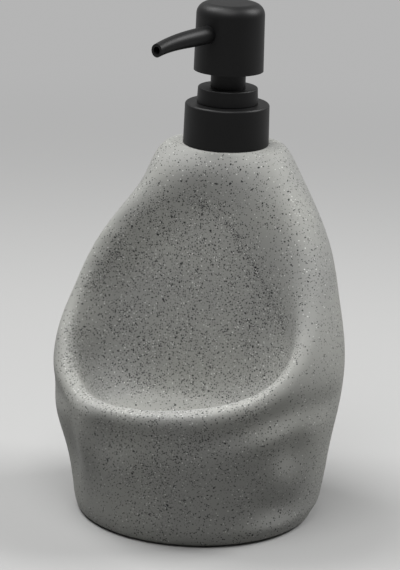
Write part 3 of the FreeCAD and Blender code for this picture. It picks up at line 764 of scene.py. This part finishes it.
@dataclass
class StoneBody:
    """The scooped bottle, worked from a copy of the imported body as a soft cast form."""

    voxel: float = 1.2 * MM
    merge_gap: float = 0.001 * MM
    polish_rounds: int = 8
    polish_share: float = 0.5
    mask_blur: int = 10
    rim_bulge: tuple[float, float] = (35.0, 80.0)
    hollow_bulge: tuple[float, float] = (8.0, 30.0)
    fold_rounds: int = 260
    fold_step: float = 0.6
    left_share: float = 0.06
    right_share: float = 0.35
    lip_share: float = 0.38
    low_hollow_share: float = 0.2
    bowl_front: tuple[float, float] = (-42 * MM, -32 * MM)
    bowl_sides: tuple[float, float] = (-32 * MM, -12 * MM)
    hollow_share: float = 0.8
    left_side: float = -34 * MM
    right_side: float = 16 * MM
    lip_height: float = 70 * MM
    lip_fade: float = 12 * MM
    scoop_eye: Point = (-4 * MM, -35 * MM, 88 * MM)
    scoop_facing: tuple[float, float] = (0.1, 0.5)
    scoop_back: float = 8 * MM
    scoop_floor: float = 44 * MM
    scoop_fade: float = 5 * MM
    wall_shifts: tuple[WallShift, ...] = (
        WallShift(-33, 104, 16, 20, 2.6, 0.0),
        WallShift(36, 70, 16, 14, 1.8, -0.6),
        WallShift(-4, 50, 36, 14, 0.0, -1.7),
    )
    crown_shifts: tuple[WallShift, ...] = (
        WallShift(-21, 138, 9, 6.5, -1.6, 0.0),
        WallShift(21, 138, 9, 6.5, 1.2, 0.0),
    )
    broad_blur: int = 70
    broad_gain: float = 2.4
    brow_height: float = 118 * MM
    brow_sides: tuple[float, float] = (-32 * MM, -8 * MM)
    edge_margin: float = 6 * MM
    neck_margin: tuple[float, float] = (17 * MM, 21 * MM)
    neck_front: tuple[float, float] = (8 * MM, 16 * MM)
    plug_margin: float = 1.2 * MM
    fit_gap: float = 0.05 * MM
    plug_depth: float = 10 * MM
    bore_depth: float = 20 * MM
    outer_radius: float = 53 * MM
    shell_radius: tuple[float, float] = (18 * MM, 28 * MM)
    shell_facing: tuple[float, float] = (0.0, 0.4)
    dents: tuple[SoftSpot, ...] = (
        SoftSpot(-14, 52, 14, 6, 1.7),
        SoftSpot(-42, 52, 14, 6, 1.8, 14),
        SoftSpot(-61, 47.5, 11, 5, 1.2, 14),
        SoftSpot(-42, 44.5, 13, 5, -1.3, 18),
        SoftSpot(-30, 36.5, 9, 7, 1.8, 10),
        SoftSpot(-36, 29, 7, 9, -0.9),
        SoftSpot(-32, 14, 12, 6, 1.8),
        SoftSpot(-34, 5, 18, 4, -0.6),
        SoftSpot(-126, 36, 6, 13, -1.3, -15),
        SoftSpot(-140, 29, 8, 11, 1.4, -15),
        SoftSpot(-112, 41, 10, 9, 1.8),
        SoftSpot(-147, 49, 14, 5.5, 1.3),
        SoftSpot(-164, 37, 12, 10, -1.2),
        SoftSpot(17, 13, 24, 16, -2.0),
        SoftSpot(152, 134, 24, 8, -2.6),
        SoftSpot(-86, 44, 24, 7, 1.0),
        SoftSpot(60, 62, 16, 18, 2.2, 20),
        SoftSpot(98, 38, 18, 12, 2.4, -15),
        SoftSpot(140, 70, 15, 20, 2.0, 10),
        SoftSpot(170, 24, 14, 10, 2.0),
        SoftSpot(80, 96, 16, 10, 1.6, -20),
    )
    cover_outside: float = 0.42
    cover_scoop: float = 1.0
    cover_brow: float = 0.5
    crease_gain: float = 0.5
    crease_spread: float = 4.0 * MM
    crease_line: float = 0.9 * MM
    crease_left: float = 0.45
    brow_spread: float = 7 * MM
    rim_bareness: float = 0.45
    speck_and_shade_spots: tuple[SoftSpot, ...] = (
        # lower front: more specks, partly the denser spray there and partly painted shade on the front below
        # the lip
        SoftSpot(-88, 30, 28, 18, 0.6),
        SoftSpot(-58, 47, 22, 8, 0.35, 12),
        SoftSpot(-135, 40, 14, 30, -0.2),
        SoftSpot(-25, 60, 20, 40, -0.15),
    )
    crease: tuple[tuple[float, float], ...] = (
        (-42, 85), (-38, 89), (-34, 99), (-29, 111), (-21, 116), (-15, 121), (-9, 121), (-1, 119),
        (9, 113), (24, 93), (34, 78))

    def build(self, finish: bpy.types.Material) -> bpy.types.Object:
        """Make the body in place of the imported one.

        Args:
            finish: Material of the stone.

        Returns:
            The finished piece.
        """
        body = self.copy_form("stone_body")
        self.fill_fits(body)
        finish_modifier(body, "REMESH", mode="VOXEL", voxel_size=self.voxel)
        finish_modifier(body, "SMOOTH", factor=self.polish_share, iterations=self.polish_rounds)
        self.soften_folds(body)
        self.shift_walls(body)
        self.press_dents(body)
        self.cut_room(body)
        self.cut_fits(body)
        self.spray_specks(body)
        select_only(body)
        bpy.ops.object.shade_smooth_by_angle(angle=SMOOTH_ANGLE)
        body.data.materials.clear()
        body.data.materials.append(finish)
        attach(body, Body.CADDY.value)
        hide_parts("caddy_body")
        return body

    def copy_form(self, name: str) -> bpy.types.Object:
        """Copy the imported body's mesh into a new object and merge its loose triangles.

        Args:
            name: Name of the new object.

        Returns:
            The copy.
        """
        body = bpy.data.objects.new(name, frame["nodes"]["caddy_body"].data.copy())
        bpy.context.scene.collection.objects.link(body)
        select_only(body)
        bpy.ops.object.mode_set(mode="EDIT")
        bpy.ops.mesh.select_all(action="SELECT")
        bpy.ops.mesh.remove_doubles(threshold=self.merge_gap)
        bpy.ops.object.mode_set(mode="OBJECT")
        return body

    def neck_axis(self) -> tuple[float, float]:
        """Find where the axis of the neck stands in plan.

        Returns:
            Its place on X and Y.
        """
        low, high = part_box("neck_insert")
        middle = (low + high) / 2
        return middle.x, middle.y

    def fits(self) -> list[RoundFit]:
        """Measure the pad recesses and the neck bore on the pieces that sit in them.

        Returns:
            The round fits.
        """
        low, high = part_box("caddy_body")
        margin = self.plug_margin
        rounds = []
        for pad in PAD_NODES:
            pad_low, pad_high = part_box(pad)
            middle = (pad_low + pad_high) / 2
            radius = (pad_high.x - pad_low.x) / 2 + self.fit_gap
            rounds.append(RoundFit(radius, (middle.x, middle.y), (low.z, pad_high.z + margin),
                                   (low.z - margin, pad_high.z)))
        rounds.append(RoundFit(self.bore_radius(), self.neck_axis(), (high.z - self.plug_depth, high.z),
                               (high.z - self.bore_depth, high.z + margin)))
        return rounds

    def bore_radius(self) -> float:
        """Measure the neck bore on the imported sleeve's lowest ring.

        Returns:
            The radius of the bore.
        """
        sleeve = frame["nodes"]["neck_insert"].data
        points = np.array([point.co for point in sleeve.vertices])
        lowest = points[points[:, 2] < points[:, 2].min() + self.fit_gap]
        return (lowest[:, 0].max() - lowest[:, 0].min()) / 2 + self.fit_gap

    def fill_fits(self, body: bpy.types.Object) -> None:
        """Fill the pad recesses and the top of the neck bore, so that the surface can be worked whole.

        Args:
            body: The body, which takes in the plugs.
        """
        plugs = [add_drum("plug", fit.radius + self.plug_margin, fit.place, fit.plug) for fit in self.fits()]
        select_only(body, *plugs)
        bpy.ops.object.join()

    def cut_room(self, body: bpy.types.Object) -> None:
        """Cut the soap room into the worked form, which the voxels have made solid.

        Args:
            body: The body to cut.
        """
        room = self.copy_form("soap_room")
        points = MeshSurface(room).points
        sleeve_low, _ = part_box("neck_insert")
        reach = np.hypot(*(points[:, :2] - self.neck_axis()).T)
        bore = (np.abs(reach - self.bore_radius()) < 2 * self.fit_gap) & (points[:, 2] > sleeve_low.z)
        open_points(room, bore)
        bpy.ops.mesh.delete(type="FACE")
        bpy.ops.object.mode_set(mode="OBJECT")
        height = MeshSurface(room).points[:, 2]
        open_points(room, height < height.min() + self.fit_gap)
        bpy.ops.mesh.select_linked()
        bpy.ops.mesh.delete(type="VERT")
        bpy.ops.mesh.select_all(action="SELECT")
        bpy.ops.mesh.fill_holes(sides=0)
        bpy.ops.mesh.normals_make_consistent(inside=False)
        bpy.ops.object.mode_set(mode="OBJECT")
        cut_away(body, room)

    def cut_fits(self, body: bpy.types.Object) -> None:
        """Cut the pad recesses and the neck bore again, at their exact size."""
        for fit in self.fits():
            cut_away(body, add_drum("cutter", fit.radius, fit.place, fit.cut))

    def find_folds(self, surface: MeshSurface) -> tuple[np.ndarray, np.ndarray]:
        """Find where the stone turns sharply, away from the foot and the neck.

        Args:
            surface: The body's surface.

        Returns:
            How far each point belongs to the scoop's rim, and how far to a hollow, from 0 to 1.
        """
        bulge = surface.blur(surface.bulge(), self.mask_blur)
        away = self.away(surface)
        rim = surface.blur(ease(bulge, *self.rim_bulge), self.mask_blur)
        hollow = surface.blur(ease(-bulge, *self.hollow_bulge), self.mask_blur)
        return rim * away, hollow * away

    def away(self, surface: MeshSurface) -> np.ndarray:
        """Find what is clear of the foot's edge and the neck's.

        Args:
            surface: The body's surface.

        Returns:
            How far each point is clear of them, from 0 to 1.
        """
        low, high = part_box("caddy_body")
        across, along = (surface.points[:, :2] - self.neck_axis()).T
        height = surface.points[:, 2]
        above = ease(height, low.z, low.z + self.edge_margin)
        below = ease(-height, -high.z, -high.z + self.edge_margin)
        before = ease(np.hypot(across, along), *self.neck_margin) * ease(-along, *self.neck_front)
        return above * np.maximum(below, before)

    def soften_folds(self, body: bpy.types.Object) -> None:
        """Round the scoop's rim and its bowl more broadly, most at the brow.

        Args:
            body: The body, whose points move.
        """
        surface = MeshSurface(body)
        rim, hollow = self.find_folds(surface)
        across, _, height = surface.points.T
        side = ease(across, self.left_side, self.right_side)
        share = self.left_share + (self.right_share - self.left_share) * side
        brow = ease(height, self.lip_height, self.brow_height) * ease(across, *self.brow_sides)
        share += (1 - share) * brow
        lip = ease(-height, -self.lip_height, -self.lip_height + self.lip_fade)
        share += (self.lip_share - share) * lip
        folds = np.maximum(rim, hollow)
        broad = np.clip(self.broad_gain * surface.blur(folds, self.broad_blur), 0, 1) * self.away(surface)
        hollow_share = self.hollow_share + (self.low_hollow_share - self.hollow_share) * lip
        zone = np.maximum(rim * share, hollow * hollow_share)
        middle = ease(-np.abs(across - self.scoop_eye[0]), *self.bowl_sides)
        bowl = lip * middle * ease(surface.points[:, 1], *self.bowl_front)
        step = (self.fold_step * (zone + (broad - zone) * np.maximum(brow, bowl)))[:, None]
        for _ in range(self.fold_rounds):
            surface.points += step * (surface.around(surface.points) - surface.points)
        surface.write()

    def find_scoop(self, surface: MeshSurface) -> np.ndarray:
        """Find what faces the open middle of the scoop.

        Args:
            surface: The body's surface.

        Returns:
            How far each point does, from 0 to 1.
        """
        sight = np.array(self.scoop_eye) - surface.points
        sight /= np.linalg.norm(sight, axis=1)[:, None]
        facing = ease((sight * surface.normals).sum(axis=1), *self.scoop_facing)
        _, along, height = surface.points.T
        front = ease(-along, -self.scoop_back - self.scoop_fade, -self.scoop_back)
        above = ease(height, self.scoop_floor, self.scoop_floor + self.scoop_fade)
        return surface.blur(facing * front * above, self.mask_blur)

    def shift_walls(self, body: bpy.types.Object) -> None:
        """Move the scoop's walls and the crown's corners to where the softening should leave them.

        Args:
            body: The body, whose points move.
        """
        surface = MeshSurface(body)
        share = self.find_scoop(surface)
        for shift in self.wall_shifts:
            shift.move(surface, share)
        for shift in self.crown_shifts:
            shift.move(surface, np.ones(len(share)))
        surface.write()

    def press_dents(self, body: bpy.types.Object) -> None:
        """Push the soft hollows and swellings into the outside of the body.

        Args:
            body: The body, whose points move.
        """
        surface = MeshSurface(body)
        low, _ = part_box("caddy_body")
        _, radius = surface.polar()
        outwards = surface.points[:, :2] / radius[:, None]
        facing = (outwards * surface.normals[:, :2]).sum(axis=1)
        shell = ease(facing, *self.shell_facing) * ease(radius, *self.shell_radius)
        held = ease(surface.points[:, 2], low.z + MM, low.z + self.edge_margin)
        depth = sum(dent.spread_over(surface, self.outer_radius) for dent in self.dents) * MM
        surface.points[:, :2] -= outwards * (depth * surface.blur(shell, self.mask_blur) * held)[:, None]
        surface.write()

    def spray_specks(self, body: bpy.types.Object) -> None:
        """Paint how densely the specks lie: most in the scoop, along its crease and on the lower front,
        where the extra dark specks are partly the denser spray and partly painted shade.

        Args:
            body: The body, which gets a value at each point.
        """
        surface = MeshSurface(body)
        scoop = self.find_scoop(surface)
        spots_and_shade = sum(spot.spread_over(surface, self.outer_radius) for spot in self.speck_and_shade_spots)
        # the outside cover includes the lower-front spot, which is partly painted shade
        outside = self.cover_outside + spots_and_shade
        middle = np.array(self.scoop_eye)[[0, 2]]
        beyond = beyond_line(surface.points[:, [0, 2]], np.array(self.crease) * MM, middle)
        height = surface.points[:, 2]
        brow = ease(beyond, 0, self.brow_spread)
        brow *= ease(height, self.lip_height, self.lip_height + self.lip_fade)
        inside = self.cover_scoop + (self.cover_brow - self.cover_scoop) * brow
        dust = np.where(beyond > 0, self.crease_spread, self.crease_line)
        inside += self.crease_gain * np.exp(-(beyond / dust) ** 2)
        side = ease(surface.points[:, 0], self.left_side, self.right_side)
        line = scoop * np.exp(-(beyond / self.crease_line) ** 2)
        line *= self.crease_left + (1 - self.crease_left) * side
        cover = outside + (inside - outside) * scoop
        rim, _ = self.find_folds(surface)
        cover *= 1 - self.rim_bareness * rim
        for kind, values in ((SpeckMap.SPRAY_AND_SHADE, cover), (SpeckMap.CREASE, line)):
            attribute = body.data.attributes.new(kind.value, "FLOAT", "POINT")
            attribute.data.foreach_set("value", values.astype(np.float32))


@dataclass
class BasePads:
    """The four rubber pads under the foot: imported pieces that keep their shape."""

    nodes: tuple[str, ...] = PAD_NODES

    def dress(self, finish: bpy.types.Material) -> None:
        """Give each pad its finish."""
        for node in self.nodes:
            dress_node(node, finish)


@dataclass
class ReturnSpring:
    """The spring in the pump's housing: one round wire."""

    wire: float = 0.9 * MM
    turns: int = 8
    wire_sides: int = 12
    turn_steps: int = 40

    def build(self, finish: bpy.types.Material) -> bpy.types.Object:
        """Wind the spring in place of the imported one.

        Args:
            finish: Material of the wire.

        Returns:
            The finished piece.
        """
        low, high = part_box("return_spring")
        middle = (low + high) / 2
        spring = self.wind((high.x - low.x - self.wire) / 2, low.z + self.wire / 2, high.z - self.wire / 2)
        spring.location = (middle.x, middle.y, 0.0)
        select_only(spring)
        bpy.ops.object.transform_apply(location=True, rotation=True, scale=True)
        bpy.ops.object.shade_smooth_by_angle(angle=SMOOTH_ANGLE)
        spring.data.materials.append(finish)
        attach(spring, Body.PUMP.value)
        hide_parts("return_spring")
        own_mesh(spring)
        return spring

    def wind(self, radius: float, bottom: float, top: float) -> bpy.types.Object:
        """Wind the wire round the upright axis.

        Args:
            radius: Radius of the coil at the middle of the wire.
            bottom: Height of the middle of the wire at its lower end.
            top: Height of the middle of the wire at its upper end.

        Returns:
            The closed coil.
        """
        bpy.ops.object.select_all(action="DESELECT")
        bpy.ops.mesh.primitive_circle_add(vertices=self.wire_sides, radius=self.wire / 2,
                                          location=(radius, 0.0, bottom), rotation=(math.pi / 2, 0.0, 0.0))
        coil = bpy.context.object
        coil.name = "spring_wire"
        bpy.ops.object.transform_apply(location=True, rotation=True, scale=True)
        finish_modifier(coil, "SCREW", iterations=self.turns, steps=self.turn_steps,
                        render_steps=self.turn_steps, screw_offset=(top - bottom) / self.turns)
        bpy.ops.object.mode_set(mode="EDIT")
        bpy.ops.mesh.select_all(action="SELECT")
        bpy.ops.mesh.fill_holes(sides=self.wire_sides)
        bpy.ops.mesh.normals_make_consistent(inside=False)
        bpy.ops.object.mode_set(mode="OBJECT")
        return coil


@dataclass
class Pump:
    """The lotion pump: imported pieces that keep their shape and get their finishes."""

    slots: tuple[tuple[Slot, tuple[str, ...]], ...] = (
        (Slot.BLACK, ("collar_shell", "guide_ring", "actuator", "head_cap", "spout")),
        (Slot.NATURAL, ("closure", "neck_insert", "housing", "stem", "ball_cage")),
        (Slot.CLEAR, ("dip_tube",)),
        (Slot.SEAL, ("gasket", "stem_wiper", "piston")),
        (Slot.STEEL, ("inlet_ball", "outlet_ball")),
    )

    def dress(self, finishes: dict[Slot, bpy.types.Material]) -> None:
        """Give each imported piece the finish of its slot.

        Args:
            finishes: The material of each slot.
        """
        for slot, nodes in self.slots:
            for node in nodes:
                dress_node(node, finishes[slot])


@dataclass(frozen=True)
class Lamp:
    """A soft square lamp that points at the middle of the object."""

    name: str
    place: Point
    side: float
    power: float

    def hang(self) -> None:
        """Hang the lamp in its place."""
        light = bpy.data.lights.new(self.name, "AREA")
        light.size = self.side
        light.energy = self.power
        holder = bpy.data.objects.new(self.name, light)
        bpy.context.scene.collection.objects.link(holder)
        middle = (CAD_BOX[0] + CAD_BOX[1]) / 2
        holder.location = self.place
        holder.rotation_euler = (middle - Vector(self.place)).to_track_quat("-Z", "Y").to_euler()


@dataclass
class Studio:
    """Pale floor, soft light from above, and the camera."""

    photo_width: int = 400
    photo_height: int = 570
    sensor: float = 36.0
    focal_pixels: float = 2626.0
    turn: float = 17.0
    elevation: float = 16.2
    roll: float = -2.05
    distance: float = 1.0
    target_shift: float = -0.65 * MM
    target_height: float = 89.2 * MM
    floor_size: float = 6.0
    floor_fade: tuple[float, float] = (0.25, 0.85)
    floor_colour: Colour = (0.40, 0.40, 0.396)
    floor_shade: Colour = (0.20, 0.20, 0.196)
    floor_roughness: float = 0.9
    backdrop: float = 0.46
    ambient: float = 0.03
    lamps: tuple[Lamp, ...] = (
        Lamp("front_light", (0.0, -0.38, 0.98), 0.6, 6.4),
        Lamp("left_light", (-0.46, 0.05, 0.93), 0.5, 7.8),
        Lamp("right_light", (0.68, 0.42, 0.86), 0.5, 9.6),
    )

    def build(self) -> None:
        """Make the floor, lights and camera."""
        self.lay_floor()
        self.light_world()
        for lamp in self.lamps:
            lamp.hang()
        self.place_camera()
        bpy.context.scene.view_settings.view_transform = "Standard"

    def lay_floor(self) -> None:
        """Lay a wide matt floor under the object, which fades into the backdrop far from it."""
        bpy.ops.object.select_all(action="DESELECT")
        bpy.ops.mesh.primitive_plane_add(size=self.floor_size)
        floor = bpy.context.object
        floor.name = "floor"
        material, sheet, shader, place = new_material("pale_floor")
        seen = self.seen(sheet)
        sheet.feed(shader.inputs["Base Color"], sheet.mix(seen, self.floor_shade, self.floor_colour))
        shader.inputs["Roughness"].default_value = self.floor_roughness
        reach = sheet.add("ShaderNodeVectorMath", operation="LENGTH")
        sheet.feed(reach.inputs[0], place)
        far = sheet.spread(reach.outputs["Value"], *self.floor_fade, 0.0, 1.0)
        glow = sheet.add("ShaderNodeEmission", {"Strength": self.backdrop})
        both = sheet.add("ShaderNodeMixShader")
        parts = (sheet.work("MULTIPLY", seen, far), shader.outputs["BSDF"], glow.outputs["Emission"])
        for socket, value in zip(both.inputs, parts):
            sheet.feed(socket, value)
        sheet.feed(material.node_tree.nodes["Material Output"].inputs["Surface"], both.outputs["Shader"])
        floor.data.materials.append(material)

    @staticmethod
    def seen(sheet: NodeSheet) -> bpy.types.NodeSocket:
        """Tell what the camera sees, straight, mirrored or through glass, from what only sheds light.

        Args:
            sheet: Node sheet of the floor or the world.

        Returns:
            The socket that is 1 for what is seen.
        """
        path = sheet.add("ShaderNodeLightPath").outputs
        mirrored = sheet.work("MAXIMUM", path["Is Glossy Ray"], path["Is Transmission Ray"])
        return sheet.work("MAXIMUM", path["Is Camera Ray"], mirrored)

    def light_world(self) -> None:
        """Light everything evenly and faintly from all round, before a pale backdrop."""
        world = bpy.data.worlds.new("studio")
        world.use_nodes = True
        sheet = NodeSheet(world.node_tree)
        background = world.node_tree.nodes["Background"]
        background.inputs["Color"].default_value = (1.0, 1.0, 1.0, 1.0)
        strength = sheet.work("MULTIPLY_ADD", self.seen(sheet), self.backdrop - self.ambient, self.ambient)
        sheet.feed(background.inputs["Strength"], strength)
        bpy.context.scene.world = world

    def place_camera(self) -> None:
        """Stand the camera at the photo's viewing angle."""
        turn, rise, roll = (math.radians(angle) for angle in (self.turn, self.elevation, self.roll))
        back = Vector((math.sin(turn) * math.cos(rise), -math.cos(turn) * math.cos(rise), math.sin(rise)))
        right = Vector((math.cos(turn), math.sin(turn), 0.0))
        up = back.cross(right)
        across = right * math.cos(roll) - up * math.sin(roll)
        upright = right * math.sin(roll) + up * math.cos(roll)
        target = right * self.target_shift + Vector((0.0, 0.0, self.target_height))
        camera = bpy.data.cameras.new("camera")
        camera.sensor_width = self.sensor
        camera.lens = self.focal_pixels * self.sensor / max(self.photo_width, self.photo_height)
        holder = bpy.data.objects.new("camera", camera)
        bpy.context.scene.collection.objects.link(holder)
        turned = Matrix((across, upright, back)).transposed().to_4x4()
        holder.matrix_world = Matrix.Translation(target + back * self.distance) @ turned
        bpy.context.scene.camera = holder


def make_finishes() -> dict[Slot, bpy.types.Material]:
    """Make the material of every slot.

    Returns:
        The materials by slot.
    """
    effects = SharedEffects(make_speck_group(), make_grain_group())
    kinds = {
        Slot.STONE: SpeckledStone(),
        Slot.BLACK: MouldedPlastic("black_plastic", (0.0020, 0.0020, 0.0022), (0.0030, 0.0030, 0.0032), 0.46,
                                   specular=0.24),
        Slot.NATURAL: MouldedPlastic("natural_plastic", (0.78, 0.78, 0.76), (0.72, 0.72, 0.69), 0.38),
        Slot.CLEAR: MouldedPlastic("clear_plastic", (0.80, 0.84, 0.85), (0.74, 0.78, 0.79), 0.30,
                                   transmission=0.35),
        Slot.SEAL: SoftRubber("seal_rubber", (0.66, 0.66, 0.63), (0.74, 0.74, 0.72)),
        Slot.PAD: SoftRubber("pad_rubber", (0.045, 0.045, 0.046), (0.11, 0.11, 0.105)),
        Slot.STEEL: DrawnSteel(),
    }
    return {slot: kind.build(effects) for slot, kind in kinds.items()}


def main() -> None:
    """Build the pieces, dress them and set the studio."""
    logging.basicConfig(level=logging.INFO, format="%(name)s: %(message)s")
    finishes = make_finishes()
    body = StoneBody().build(finishes[Slot.STONE])
    LOG.info("%s has %d faces", body.name, len(body.data.polygons))
    spring = ReturnSpring().build(finishes[Slot.STEEL])
    LOG.info("%s has %d faces", spring.name, len(spring.data.polygons))
    Pump().dress(finishes)
    BasePads().dress(finishes[Slot.PAD])
    Studio().build()


if __name__ == "__main__":
    main()
